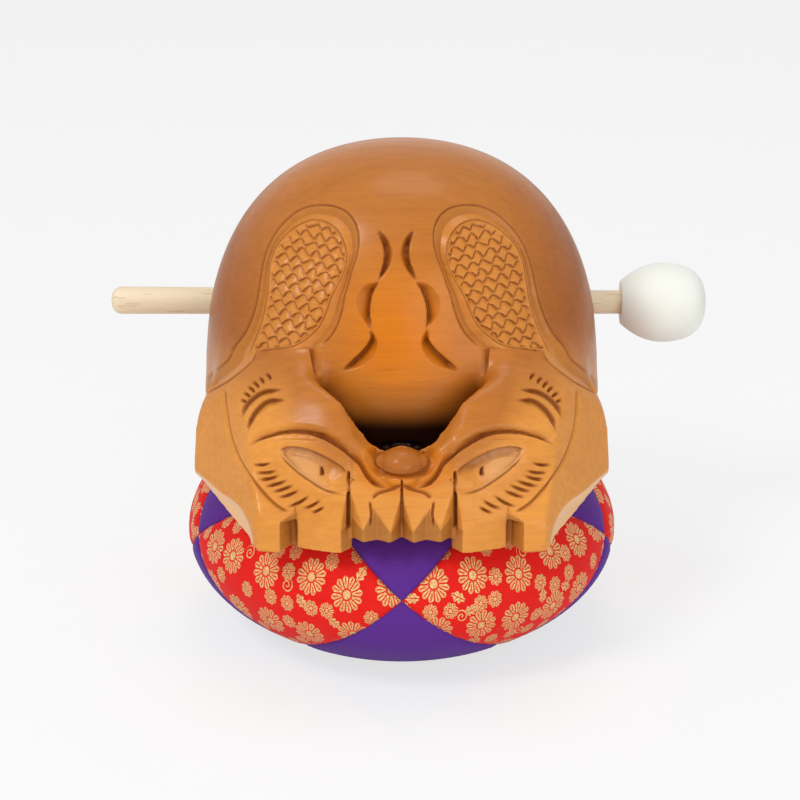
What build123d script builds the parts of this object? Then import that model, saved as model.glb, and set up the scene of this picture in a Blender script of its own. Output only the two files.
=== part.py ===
"""Mokugyo: a hollow carved slit drum on a round patchwork cushion, its beater lying in the drum's mouth.

Millimetres, +Z up, the origin on the table under the cushion's centre.
The drum's handle is towards -Y, its mouth towards +Y, and the beater's head towards +X.
"""
import math
import os

from build123d import *

# Drum body: a dome that is oval from above
body_half_width = 83.0
body_half_depth = 64.0
body_centre_y = 9.0
body_base_z = 73.0
body_base_radius = 46.0
body_widest_z = 101.0
body_top_z = 206.0
dome_shoulder = 0.63
dome_fullness = 0.68

# Hollow inside the body
side_wall = 13.0
crown_wall = 17.0
floor_wall = 11.0

# Mouth: a level slit round the back, with a round hole at each end
mouth_floor_z = 116.8
mouth_height = 14.0
mouth_end_y = 30.0
mouth_end_radius = 10.0

# Handle: a yoke in front of the body, carved as two heads that meet at a pearl
head_ball_radius = 74.5
head_ball_at = (20.0, -15.0, 73.5)
yoke_half_width = 84.5
yoke_widest_y = -40.0
yoke_bend = (74.0, -61.0)
yoke_root = (74.0, -14.0)
outer_block = [(56.0, -88.5), (47.5, -89.0), (41.5, -79.5)]
inner_block = [(41.0, -84.5), (24.5, -90.0), (19.5, -85.0)]
block_height = 12.6
block_slope = 50.0
block_lean = 20.0
teeth = [(19.5, -86.5), (15.0, -92.0), (9.5, -89.0), (4.5, -92.5), (0.0, -86.5)]
teeth_rise = 5.3
handle_clearance = 3.3
cheek_height = 12.6
cheek_slope = 78.0
fin_height = 4.0
fin_slope = 75.0
jaw_rise = 12.0
jaw_slope = 5.0
petal_foot = (-93.5, 77.0)
petal_slope = 66.0
petal_height = 20.0
pearl_radius = 9.5
pearl_at = (-78.0, 99.5)
saddle_radius = 26.0
saddle_at = (-82.0, 130.0)

# Eyes and eyelids, drawn on the flat of a cheek: along it from its inner foot, then up it
eye_depth = 1.8
eye_top = [(26.5, 26.3), (14.0, 27.6), (4.2, 24.3), (-2.1, 20.5)]
eye_foot = [(-2.3, 12.7), (5.3, 12.9), (18.0, 18.9), (26.5, 26.3)]
lid_depth = 1.2
lid_top = [(40.5, 25.7), (27.3, 32.6), (11.0, 34.1), (-1.8, 28.7)]
lid_foot = [(-1.8, 28.7), (11.2, 31.3), (27.5, 30.0), (40.5, 25.7)]
socket_reach = 15.0

# Curls and scale fields on the dome, drawn as seen from the front and a little above
carving_tilt = 22.0
carving_middle_z = 97.0
curl_depth = 2.4
upper_curl = [(7.0, 67.7), (5.0, 62.6), (4.3, 57.8), (5.3, 52.7), (6.9, 48.4)]
upper_curl_edge = [(3.0, 63.5), (1.6, 58.2), (2.9, 53.1)]
middle_curl = [(8.2, 45.9), (10.2, 43.2), (11.8, 37.2), (11.8, 31.7), (11.4, 29.2)]
middle_curl_edge = [(13.5, 44.5), (16.7, 38.4), (15.2, 33.5)]
lower_curl = [(11.0, 26.2), (11.2, 23.8), (14.2, 19.4), (18.6, 15.2), (22.9, 11.1)]
lower_curl_edge = [(8.8, 23.4), (9.6, 18.6), (14.4, 13.9)]
field_depth = 1.1
field_line = [
    (52.0, 40.0),
    (47.4, 61.5),
    (29.1, 71.1),
    (20.0, 55.1),
    (28.5, 35.4),
    (42.3, 21.4),
    (55.0, 24.0),
]

# Finger gap between the body and the yoke: narrower below
gap_top_z = 156.0
gap_top_centre_y = -46.0
gap_top_half = (40.0, 31.0)
gap_foot_z = 60.0
gap_foot_centre_y = -50.0
gap_foot_half = (22.0, 20.0)

# Cushion: round, with the crown pressed flat under the drum
cushion_radius = 92.0
cushion_belly_z = 41.0
cushion_crown = 48.0
cushion_sag = 46.0
dent_margin = 10.0
dent_lip = 10.0
cloth = 1.2
patch_count = 5
seam_z = 47.5
brocade_rise = 0.52
brocade_drop = 0.50

# Beater: a tapered stick with an egg-shaped head
beater_y = 52.0
beater_lift = 0.2
stick_grip_x = -126.5
stick_butt_radius = 6.0
stick_tip_radius = 5.0
stick_butt_round = 5.0
head_neck_x = 95.5
head_end_x = 132.5
head_radius = 16.9
head_widest = 0.62
head_neck_radius = 9.5
head_bore_depth = 24.0

# Dent under the drum: a level floor wider than the body's base, then a lip up to the crown
dent_floor_radius = body_base_radius + dent_margin
dent_rim_radius = dent_floor_radius + dent_lip


def dome_form(side_inset, crown_inset, floor_inset):
    """The body's form, drawn in at the side, the crown and the floor."""
    half_width = body_half_width - side_inset
    top_z = body_top_z - crown_inset
    base_z = body_base_z + floor_inset
    base_radius = body_base_radius - side_inset / 2
    with BuildPart() as form:
        with BuildSketch(Plane.XZ):
            with BuildLine():
                Bezier(
                    (half_width, body_widest_z),
                    (half_width, body_widest_z + dome_shoulder * (top_z - body_widest_z)),
                    (dome_fullness * half_width, top_z),
                    (0, top_z),
                )
                Line((0, top_z), (0, base_z))
                Line((0, base_z), (base_radius, base_z))
                EllipticalCenterArc(
                    (base_radius, body_widest_z),
                    half_width - base_radius,
                    body_widest_z - base_z,
                    270,
                    arc_size=90,
                )
            make_face()
        revolve(axis=Axis.Z)
        scale(by=(1, (body_half_depth - side_inset) / half_width, 1))
    return form.part


def crown_z(at_radius, inset):
    """The height of the cushion's crown at a distance from its middle."""
    share = at_radius / (cushion_radius - inset)
    return cushion_belly_z + (cushion_crown - inset) * math.sqrt(1 - share**2)


def cushion_form(inset):
    """The cushion's form, drawn in by the thickness of its cloth."""
    radius = cushion_radius - inset
    crown = cushion_crown - inset
    sag = cushion_sag - inset
    foot_turn = math.asin((cushion_belly_z - inset) / sag)
    foot_radius = radius * math.cos(foot_turn)
    foot_degrees = math.degrees(foot_turn)
    rim_degrees = math.degrees(math.acos(dent_rim_radius / radius))
    rim_z = crown_z(dent_rim_radius, inset)
    dent_z = body_base_z - inset
    with BuildPart() as form:
        with BuildSketch(Plane.XZ):
            with BuildLine():
                Line((0, inset), (foot_radius, inset))
                EllipticalCenterArc((0, cushion_belly_z), radius, sag, -foot_degrees, arc_size=foot_degrees)
                EllipticalCenterArc((0, cushion_belly_z), radius, crown, 0, arc_size=rim_degrees)
                Spline(
                    (dent_rim_radius, rim_z),
                    (dent_floor_radius, dent_z),
                    tangents=((-1, -0.1), (-1, 0)),
                )
                Line((dent_floor_radius, dent_z), (0, dent_z))
                Line((0, dent_z), (0, inset))
            make_face()
        revolve(axis=Axis.Z)
    return form.part


def around(turn, radius, z):
    """A point round the cushion: turn in degrees from the front, towards +X."""
    return (radius * math.sin(math.radians(turn)), -radius * math.cos(math.radians(turn)), z)


def leaning(start, end, slope):
    """A plane through an edge of the right-hand head: it leans back, or under if its slope is negative."""
    along = (Vector(*end) - Vector(*start)).normalized()
    ahead = Vector(along.Y, -along.X, 0).normalized()
    up_slope = Vector(0, 0, math.sin(math.radians(slope))) - ahead * math.cos(math.radians(slope))
    return Plane(start, x_dir=along, z_dir=along.cross(up_slope) * math.copysign(1, slope))


# Handle: the blocks' level feet, the fins' foot at the widest place and the cheeks' lower edge
underside_z = crown_z(-outer_block[2][1], 0) + handle_clearance
fin_foot_z = underside_z + jaw_rise
cheek_z = underside_z + cheek_height
block_top_z = underside_z + block_height
block_back_y = outer_block[1][1] + block_lean / math.tan(math.radians(block_slope))
cheek = leaning((*inner_block[1], cheek_z), (*inner_block[0], cheek_z), cheek_slope)
fin_tip = (yoke_half_width, yoke_widest_y)
fin = leaning((*outer_block[0], block_top_z), (*fin_tip, fin_foot_z + fin_height), fin_slope)
jaw = leaning((*outer_block[0], underside_z), (*fin_tip, fin_foot_z), -jaw_slope)


def heads(inset):
    """The two heads: overlapping balls, flattened at the cheeks and drawn in all round."""
    with BuildPart() as form:
        with Locations(head_ball_at):
            Sphere(head_ball_radius - inset)
        with BuildSketch(cheek.offset(-inset)):
            Rectangle(4 * body_half_width, 4 * body_half_width)
        extrude(amount=body_half_width, mode=Mode.SUBTRACT)
        mirror(about=Plane.YZ)
    return form.part


def socket(top, foot, depth):
    """What an eye or an eyelid takes from both heads."""
    with BuildPart() as cut:
        with BuildSketch(cheek):
            with BuildLine():
                Spline(*top)
                Spline(*foot)
                if top[-1] != foot[0]:
                    Line(top[-1], foot[0])
            make_face()
        extrude(amount=socket_reach, both=True)
        mirror(about=Plane.YZ)
        add(heads(depth), mode=Mode.SUBTRACT)
    return cut.part


# Outer blocks: upright in front, then leaning back into the heads
with BuildPart() as blocks:
    with BuildSketch(Plane.YZ.offset(outer_block[2][0])):
        with BuildLine():
            Polyline(
                (yoke_widest_y, underside_z),
                (outer_block[1][1], underside_z),
                (outer_block[1][1], block_top_z),
                (block_back_y, block_top_z + block_lean),
                (yoke_widest_y, block_top_z + block_lean),
                close=True,
            )
        make_face()
    extrude(amount=yoke_half_width)
    mirror(about=Plane.YZ)

# Yoke: the heads and their outer blocks, trimmed to the handle's plan
with BuildPart() as yoke:
    add(heads(0))
    add(socket(eye_top, eye_foot, eye_depth), mode=Mode.SUBTRACT)
    add(socket(lid_top, lid_foot, lid_depth), mode=Mode.SUBTRACT)
    add(blocks.part)
    with BuildSketch(Plane.XY.offset(underside_z)):
        with BuildLine():
            Polyline(*outer_block[:2], *inner_block, *teeth)
            ThreePointArc(outer_block[0], yoke_bend, (yoke_half_width, yoke_widest_y))
            Spline((yoke_half_width, yoke_widest_y), yoke_root, tangents=((0, 1), (-0.4, 1)))
            Line(yoke_root, (0, yoke_root[1]))
            Line((0, yoke_root[1]), teeth[-1])
        make_face()
        mirror(about=Plane.YZ)
    extrude(amount=body_top_z, mode=Mode.INTERSECT)
    # Notch between the blocks
    with BuildSketch(Plane.XY.offset(underside_z)):
        notch_front = [(x, 2 * outer_block[2][1]) for x in (inner_block[0][0], outer_block[1][0])]
        with BuildLine():
            Polyline(*outer_block[1:], inner_block[0], *notch_front, close=True)
        make_face()
        mirror(about=Plane.YZ)
    extrude(amount=block_height, mode=Mode.SUBTRACT)
    # Underside: hollowed to clear the cushion's crown
    with BuildSketch(Plane.XZ):
        with BuildLine():
            nest_radius = cushion_radius + handle_clearance
            nest_height = cushion_crown + handle_clearance
            EllipticalCenterArc((0, cushion_belly_z), nest_radius, nest_height, 0, arc_size=90)
            Polyline((0, cushion_belly_z + nest_height), (0, cushion_belly_z), (nest_radius, cushion_belly_z))
        make_face()
    revolve(axis=Axis.Z, mode=Mode.SUBTRACT)
    # Fins lean back from the outer blocks, jaws rise towards the fins' ends
    with BuildSketch(fin, jaw):
        Rectangle(4 * body_half_width, 4 * body_half_width)
    trim = extrude(amount=body_half_width, mode=Mode.PRIVATE)
    add(trim, mode=Mode.SUBTRACT)
    add(mirror(trim, about=Plane.YZ, mode=Mode.PRIVATE), mode=Mode.SUBTRACT)
    # Teeth end above the blocks, under petals that lean back
    with BuildSketch(Plane.XY.offset(underside_z + teeth_rise)):
        with BuildLine():
            Polyline(*teeth, (0, pearl_at[0]), (teeth[0][0], pearl_at[0]), close=True)
        make_face()
        mirror(about=Plane.YZ)
    extrude(amount=petal_height)
    with BuildSketch(Plane.YZ):
        with BuildLine():
            lean = math.radians(petal_slope)
            run = 2 * head_ball_radius
            petal_top = (petal_foot[0] + run * math.cos(lean), petal_foot[1] + run * math.sin(lean))
            Polyline(petal_foot, petal_top, (petal_foot[0], petal_top[1]), petal_foot)
        make_face()
    extrude(amount=teeth[0][0], both=True, mode=Mode.SUBTRACT)
    with Locations((0, pearl_at[0], 0)):
        Box(
            2 * teeth[0][0],
            body_half_width,
            underside_z + teeth_rise,
            align=(Align.CENTER, Align.CENTER, Align.MIN),
            mode=Mode.SUBTRACT,
        )
    # Pearl in the saddle between the heads
    with Locations((0, *saddle_at)):
        Sphere(saddle_radius, mode=Mode.SUBTRACT)
    with Locations((0, *pearl_at)):
        Sphere(pearl_radius)
    # Finger gap
    with BuildSketch(Plane.XY.offset(gap_foot_z)):
        with Locations((0, gap_foot_centre_y)):
            Ellipse(*gap_foot_half)
    with BuildSketch(Plane.XY.offset(gap_top_z)):
        with Locations((0, gap_top_centre_y)):
            Ellipse(*gap_top_half)
    loft(mode=Mode.SUBTRACT)

# Cuts in the dome: everything in front of a form drawn in by the cut's depth
curl_lines = [(upper_curl, upper_curl_edge), (middle_curl, middle_curl_edge), (lower_curl, lower_curl_edge)]
tilt = math.radians(carving_tilt)
carving_plane = Plane((0, 0, carving_middle_z), x_dir=(1, 0, 0), z_dir=(0, -math.cos(tilt), math.sin(tilt)))
with BuildPart() as curls:
    with BuildSketch(carving_plane):
        for deep, shallow in curl_lines:
            with BuildLine():
                Spline(*deep)
                Spline(deep[0], *shallow, deep[-1])
            make_face()
        mirror(about=Plane.YZ)
    extrude(amount=body_half_width)
    with Locations((0, body_centre_y, 0)):
        add(dome_form(curl_depth, curl_depth, 0), mode=Mode.SUBTRACT)
with BuildPart() as fields:
    with BuildSketch(carving_plane):
        with BuildLine():
            Spline(*field_line, periodic=True)
        make_face()
        mirror(about=Plane.YZ)
    extrude(amount=body_half_width)
    with Locations((0, body_centre_y, 0)):
        add(dome_form(field_depth, field_depth, 0), mode=Mode.SUBTRACT)

# Drum: body and yoke in one block, then the hollow and the mouth
body = dome_form(0, 0, 0)
hollow = dome_form(side_wall, crown_wall, floor_wall)
mouth_z = mouth_floor_z + mouth_height / 2
with BuildPart() as drum:
    with Locations((0, body_centre_y, 0)):
        add(body)
    add(yoke.part)
    with Locations((0, body_centre_y, 0)):
        add(hollow, mode=Mode.SUBTRACT)
    with Locations((0, mouth_end_y, mouth_z)):
        Box(
            4 * body_half_width,
            2 * body_half_depth,
            mouth_height,
            align=(Align.CENTER, Align.MIN, Align.CENTER),
            mode=Mode.SUBTRACT,
        )
    with BuildSketch(Plane.YZ):
        with Locations((mouth_end_y, mouth_z)):
            Circle(mouth_end_radius)
    extrude(amount=2 * body_half_width, both=True, mode=Mode.SUBTRACT)
    add(curls.part, mode=Mode.SUBTRACT)
    add(fields.part, mode=Mode.SUBTRACT)
drum.part.label = "drum"

# Beater: its underside is level, so its axis leans by the taper
stick_tip_x = head_neck_x + head_bore_depth
stick_lean = math.atan((stick_butt_radius - stick_tip_radius) / (stick_tip_x - stick_grip_x))
beater_z = mouth_floor_z + beater_lift + (stick_butt_radius + stick_tip_radius) / 2
beater_plane = Plane(
    (0, beater_y, beater_z), x_dir=(math.cos(stick_lean), 0, -math.sin(stick_lean)), z_dir=(0, -1, 0)
)
beater_axis = Axis(beater_plane.origin, beater_plane.x_dir)
with BuildPart() as beater_stick:
    with BuildSketch(beater_plane):
        with BuildLine():
            Line((stick_grip_x, 0), (stick_tip_x, 0))
            Line((stick_tip_x, 0), (stick_tip_x, stick_tip_radius))
            Line((stick_tip_x, stick_tip_radius), (stick_grip_x + stick_butt_round, stick_butt_radius))
            Spline(
                (stick_grip_x + stick_butt_round, stick_butt_radius),
                (stick_grip_x, 0),
                tangents=((-1, 0), (0, -1)),
            )
        make_face()
    revolve(axis=beater_axis)
beater_stick.part.label = "beater_stick"

with BuildPart() as beater_head:
    with BuildSketch(beater_plane):
        with BuildLine():
            widest_x = head_neck_x + head_widest * (head_end_x - head_neck_x)
            Line((head_neck_x, 0), (head_neck_x, head_neck_radius))
            Spline(
                (head_neck_x, head_neck_radius),
                (widest_x, head_radius),
                (head_end_x, 0),
                tangents=((0.75, 0.66), (0, -1)),
            )
            Line((head_end_x, 0), (head_neck_x, 0))
        make_face()
    revolve(axis=beater_axis)
    add(beater_stick.part, mode=Mode.SUBTRACT)
beater_head.part.label = "beater_head"

# Cushion: stuffing in a cover of sewn patches
stuffing = cushion_form(cloth)
with BuildPart() as cushion_filling:
    add(stuffing)
cushion_filling.part.label = "cushion_filling"

with BuildPart() as cover:
    add(cushion_form(0))
    add(stuffing, mode=Mode.SUBTRACT)

# One patch of each kind: brocade through four corners seen from the cushion's middle, plain cloth between
patch_turn = 360.0 / patch_count
seam_reach = 2 * cushion_radius
tip_reach = seam_reach * math.cos(math.radians(patch_turn / 2))
seam_middle = (0, 0, seam_z)
brocade_corners = [
    around(-patch_turn / 2, seam_reach, seam_z),
    around(0, tip_reach, seam_z + brocade_rise * tip_reach),
    around(patch_turn / 2, seam_reach, seam_z),
    around(0, tip_reach, seam_z - brocade_drop * tip_reach),
]
with BuildPart() as brocade_wedge:
    ConvexPolyhedron([seam_middle, *brocade_corners])
with BuildPart() as brocade_patch:
    add(cover.part)
    add(brocade_wedge.part, mode=Mode.INTERSECT)


def plain_patch(side):
    """The plain patch above (side 1) or below (side -1) the front corner where two brocade patches meet."""
    with BuildPart() as patch:
        add(cover.part)
        with BuildSketch(Plane.XY.offset(seam_z)):
            ends = [around(turn, seam_reach, 0)[:2] for turn in (-patch_turn / 2, patch_turn / 2)]
            Polygon((0, 0), *ends, align=None)
        extrude(amount=side * body_top_z, mode=Mode.INTERSECT)
        with Locations(Rotation(0, 0, -patch_turn / 2), Rotation(0, 0, patch_turn / 2)):
            add(brocade_wedge.part, mode=Mode.SUBTRACT)
    return patch.part


kinds = [
    ("top_patch", plain_patch(1), 0.0),
    ("brocade_patch", brocade_patch.part, 0.5),
    ("bottom_patch", plain_patch(-1), 0.0),
]
patches = []
for name, first, offset in kinds:
    for k in range(patch_count):
        with BuildPart() as patch:
            with Locations(Rotation(0, 0, patch_turn * (k + offset))):
                add(first)
        patch.part.label = f"{name}_{k + 1}"
        patches.append(patch.part)

os.makedirs("parts", exist_ok=True)
for piece in [drum.part, beater_stick.part, beater_head.part, cushion_filling.part, *patches]:
    export_step(piece, f"parts/{piece.label}.step")
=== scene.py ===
"""Looks of the mokugyo: the carved and lacquered drum, the patchwork cushion and the beater."""

import math

import bmesh
import bpy
import numpy as np
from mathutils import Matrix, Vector
from mathutils.bvhtree import BVHTree


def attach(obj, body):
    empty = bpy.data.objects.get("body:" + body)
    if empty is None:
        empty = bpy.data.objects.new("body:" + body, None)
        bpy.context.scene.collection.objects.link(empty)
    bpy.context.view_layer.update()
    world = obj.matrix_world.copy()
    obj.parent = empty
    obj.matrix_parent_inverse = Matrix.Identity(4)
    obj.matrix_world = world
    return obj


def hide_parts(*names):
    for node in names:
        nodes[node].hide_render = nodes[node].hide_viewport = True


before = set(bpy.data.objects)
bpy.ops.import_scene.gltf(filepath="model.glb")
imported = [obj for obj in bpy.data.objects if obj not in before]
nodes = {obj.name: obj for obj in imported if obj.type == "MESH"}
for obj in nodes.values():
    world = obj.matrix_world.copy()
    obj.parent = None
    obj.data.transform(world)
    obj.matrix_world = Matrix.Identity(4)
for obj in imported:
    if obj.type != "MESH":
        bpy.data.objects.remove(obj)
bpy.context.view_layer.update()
scene = bpy.context.scene

# Millimetres in a metre
MM = 1000.0

# The eye of the photograph, in metres and radians, and its lens in millimetres
VIEW_TILT = math.radians(22.0)
VIEW_WAY = Vector((0.0, -math.cos(VIEW_TILT), math.sin(VIEW_TILT)))
VIEW_DISTANCE = 1.0
VIEW_SIDE = -0.0007
AIM_HEIGHT = 0.097
EYE = Vector((0.0, 0.0, AIM_HEIGHT)) + VIEW_DISTANCE * VIEW_WAY
LENS, SENSOR = 107.1, 36.0


def srgb(*rgb):
    """A colour written as it looks, 0 to 255, as the shader takes it."""
    c = np.array(rgb) / 255.0
    return (*np.where(c <= 0.04045, c / 12.92, ((c + 0.055) / 1.055) ** 2.4), 1.0)


# Node materials

class Shader:
    """A node material with a Principled surface and short ways to add nodes."""

    def __init__(self, name, tree=None):
        if tree is not None:
            self.tree = tree
            return
        self.material = bpy.data.materials.new(name)
        self.material.use_nodes = True
        self.tree = self.material.node_tree
        self.tree.nodes.clear()
        self.surface = self.tree.nodes.new("ShaderNodeBsdfPrincipled")
        self.out = self.tree.nodes.new("ShaderNodeOutputMaterial")
        self.put(self.out.inputs[0], self.surface.outputs[0])

    def node(self, kind, settings=None, inputs=None):
        n = self.tree.nodes.new("ShaderNode" + kind)
        for key, value in (settings or {}).items():
            setattr(n, key, value)
        for key, value in (inputs or {}).items():
            self.put(n.inputs[key], value)
        return n

    def put(self, socket, value):
        if isinstance(value, bpy.types.NodeSocket):
            self.tree.links.new(value, socket)
        else:
            socket.default_value = value

    def fill(self, n, *values):
        """Puts values into a node's first inputs."""
        for socket, value in zip(n.inputs, values):
            self.put(socket, value)
        return n

    def math(self, operation, *values):
        return self.fill(self.node("Math", {"operation": operation}), *values).outputs[0]

    def times(self, a, b):
        return self.math("MULTIPLY", a, b)

    def plus(self, a, b):
        return self.math("ADD", a, b)

    def minus(self, a, b):
        return self.math("SUBTRACT", a, b)

    def abs(self, a):
        return self.math("ABSOLUTE", a)

    def vector(self, operation, *values):
        n = self.fill(self.node("VectorMath", {"operation": operation}), *values)
        return n.outputs["Value" if operation == "LENGTH" else "Vector"]

    def axes(self, vector):
        """The x, y and z of a vector."""
        return self.node("SeparateXYZ", inputs={0: vector}).outputs

    def mix(self, factor, a, b, blend="MIX"):
        settings = {"data_type": "RGBA", "blend_type": blend}
        return self.node("Mix", settings, {0: factor, 6: a, 7: b}).outputs[2]

    def shades(self, factor, a, b):
        """Between two colours written as they look."""
        return self.mix(factor, srgb(*a), srgb(*b))

    def ramp(self, factor, low, high, to_low=0.0, to_high=1.0):
        n = self.node("MapRange", {"interpolation_type": "SMOOTHSTEP"})
        return self.fill(n, factor, low, high, to_low, to_high).outputs[0]

    def noise(self, where, scale, detail=3.0, rough=0.5, distort=0.0):
        inputs = {"Vector": where, "Scale": scale, "Detail": detail, "Roughness": rough}
        return self.node("TexNoise", inputs={**inputs, "Distortion": distort}).outputs[0]

    def place(self, stretch=(1, 1, 1)):
        """Object coordinates, stretched."""
        return self.vector("MULTIPLY", self.node("TexCoord").outputs["Object"], stretch)

    def attribute(self, name):
        return self.node("Attribute", {"attribute_name": name}).outputs["Fac"]

    def bump(self, height, distance, strength=1.0):
        inputs = {"Height": height, "Distance": distance, "Strength": strength}
        self.put(self.surface.inputs["Normal"], self.node("Bump", inputs=inputs).outputs[0])

    def set(self, **values):
        for key, value in values.items():
            self.put(self.surface.inputs[key.replace("_", " ")], value)


def carved_wood():
    """Satin amber lacquer over straight grain that runs across the drum, with painted shade and painted
    light mixed into its colour.
    """
    s = Shader("carved_wood")
    cut, light, painted_bounce_light, pale = (s.attribute(name) for name in ("cut", "light", "painted_bounce_light", "pale"))
    figure = s.noise(s.place((5, 38, 38)), 1.0, 3.0, 0.55, 0.6)
    grain = s.noise(s.place((26, 420, 420)), 1.0, 4.0, 0.6)
    pores = s.ramp(s.noise(s.place((95, 1500, 1500)), 1.0, 2.0, 0.5), 0.62, 0.74)
    dome = s.shades(figure, (146, 78, 26), (178, 100, 36))
    face = s.shades(figure, (216, 138, 52), (236, 160, 74))
    colour = s.mix(light, dome, face)
    # Painted light: the hollow between the dome and the heads, and the saddle round the pearl, turn golden
    # as if lit by light bounced between them
    colour = s.mix(painted_bounce_light, colour, s.shades(figure, (214, 108, 1), (234, 140, 8)))
    streak = s.ramp(grain, 0.3, 0.72)
    colour = s.mix(s.times(streak, 0.16), colour, srgb(168, 100, 40), "MULTIPLY")
    colour = s.mix(s.times(pores, 0.22), colour, srgb(120, 64, 24))
    # Painted light on the fins' lower bevels and on the outer part of the eyeballs
    colour = s.mix(pale, colour, srgb(240, 194, 146))
    # Darker lacquer pooled in the cuts, and painted shade in them: along deep walls, under the scales'
    # arches and the lids, round the pearl, on the teeth and on the blocks' inner side facets
    colour = s.mix(s.times(cut, 0.85), colour, srgb(84, 34, 4))
    # Painted shade where the carving closes in, from ambient occlusion, standing also for lacquer pooled
    # in the recesses
    occlusion_shade = s.node("AmbientOcclusion", {"samples": 6}, {"Distance": 0.012}).outputs["AO"]
    colour = s.mix(s.ramp(occlusion_shade, 0.95, 0.4, 0.0, 0.7), colour, srgb(128, 54, 6))
    # Painted shade, nearly black, in the finger gap under the handle
    colour = s.mix(s.attribute("dark"), colour, srgb(30, 10, 4))
    s.set(Base_Color=colour, Roughness=s.ramp(grain, 0.2, 0.8, 0.26, 0.36), IOR=1.25)
    s.set(Coat_Weight=0.12, Coat_Roughness=0.14)
    s.bump(s.plus(s.times(grain, 0.6), s.times(pores, -0.6)), 0.00012, 0.5)
    return s.material


def beech():
    """Pale beech with short flecks along the stick."""
    s = Shader("beech")
    grain = s.noise(s.place((22, 300, 300)), 1.0, 3.0, 0.55)
    fleck = s.ramp(s.noise(s.place((110, 900, 900)), 1.0, 1.0, 0.4), 0.6, 0.7)
    colour = s.shades(grain, (232, 208, 170), (246, 232, 204))
    colour = s.mix(s.times(fleck, 0.35), colour, srgb(190, 150, 104))
    s.set(Base_Color=colour, Roughness=s.ramp(grain, 0.2, 0.8, 0.5, 0.62))
    s.bump(s.minus(grain, s.times(fleck, 0.5)), 0.0001, 0.5)
    return s.material


def pale_rubber():
    """Matt off-white rubber with a faint moulded grain."""
    s = Shader("pale_rubber")
    cloud = s.noise(s.place(), 60.0, 3.0, 0.6)
    fine = s.noise(s.place(), 2600.0, 2.0, 0.6)
    s.set(Base_Color=s.shades(cloud, (238, 241, 231), (246, 248, 240)))
    s.set(Roughness=s.ramp(cloud, 0.3, 0.7, 0.5, 0.6), Subsurface_Weight=0.08, Subsurface_Scale=0.004)
    s.bump(fine, 0.00005, 0.35)
    return s.material


def stuffing_cotton():
    """Raw cotton wadding."""
    s = Shader("stuffing")
    fibre = s.noise(s.place(), 300.0, 5.0, 0.7, 1.2)
    s.set(Base_Color=s.shades(fibre, (226, 220, 206), (244, 240, 230)))
    s.set(Roughness=s.ramp(fibre, 0.3, 0.7, 0.85, 0.95), Sheen_Weight=0.3)
    s.bump(fibre, 0.0008, 0.7)
    return s.material


# The weave and the gold's rows, in radians to a millimetre of cloth
THREADS, GOLD_ROWS = 9.5, 7.0


def threads(s, cloth):
    """A fine plain weave, from the cloth's own millimetres."""
    x, y, _ = s.axes(cloth)
    across, down = (s.math("SINE", s.times(way, THREADS)) for way in (x, y))
    return s.times(across, down)


def purple_cloth():
    """Plain purple cloth with a soft sheen."""
    s = Shader("purple_cloth")
    cloth = s.node("UVMap", {"uv_map": "cloth"}).outputs[0]
    weave = threads(s, cloth)
    slub = s.noise(s.vector("MULTIPLY", cloth, (0.12, 1.6, 1.0)), 1.0, 3.0, 0.6)
    colour = s.shades(slub, (80, 36, 128), (98, 46, 150))
    colour = s.mix(s.ramp(weave, -1.0, 1.0, 0.0, 0.16), colour, srgb(112, 64, 164))
    s.set(Base_Color=colour, Roughness=s.ramp(slub, 0.2, 0.8, 0.62, 0.74))
    s.set(Sheen_Weight=0.08, Sheen_Roughness=0.4, Specular_IOR_Level=0.12)
    s.bump(s.plus(s.times(weave, 0.5), slub), 0.00012, 0.6)
    return s.material


def cells(s, at, size, jitter):
    """The nearest point of a loose lattice: the way and distance from it, its place and its chances."""
    shrunk = s.vector("MULTIPLY", at, (1 / size, 1 / size, 0.0))
    n = s.node("TexVoronoi", {"voronoi_dimensions": "2D", "feature": "F1"},
               {"Vector": shrunk, "Scale": 1.0, "Randomness": jitter})
    centre = s.vector("MULTIPLY", n.outputs["Position"], (size, size, 0.0))
    distance = s.times(n.outputs["Distance"], size)
    chance = s.node("SeparateColor", inputs={0: n.outputs["Color"]}).outputs
    return s.vector("SUBTRACT", at, centre), distance, centre, chance


def edge(s, value, width):
    """One where value is over zero, with a soft edge."""
    return s.ramp(value, -width, width)


def flower(s, away, radius, petals, turn):
    """Notched petals round a ringed middle."""
    x, y, _ = s.axes(away)
    r = s.math("DIVIDE", s.vector("LENGTH", away), radius)
    angle = s.plus(s.math("ARCTAN2", y, x), turn)
    petal = s.abs(s.math("COSINE", s.times(angle, petals / 2)))
    reach = s.math("MULTIPLY_ADD", s.math("POWER", petal, 0.5), 0.34, 0.66)
    inside = edge(s, s.minus(reach, r), 0.03)
    midway = s.ramp(s.abs(s.minus(r, 0.72)), 0.26, 0.16)
    vein = s.times(s.ramp(petal, 0.9, 0.98), midway)
    inside = s.times(inside, s.math("MULTIPLY_ADD", vein, -0.85, 1.0))
    parted = s.ramp(s.times(s.times(r, petal), 2.0 / petals), 0.022, 0.055)
    parted = s.math("MAXIMUM", parted, edge(s, s.minus(0.36, r), 0.03))
    ring = edge(s, s.minus(s.abs(s.minus(r, 0.3)), 0.05), 0.03)
    return s.times(s.times(inside, parted), ring)


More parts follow.
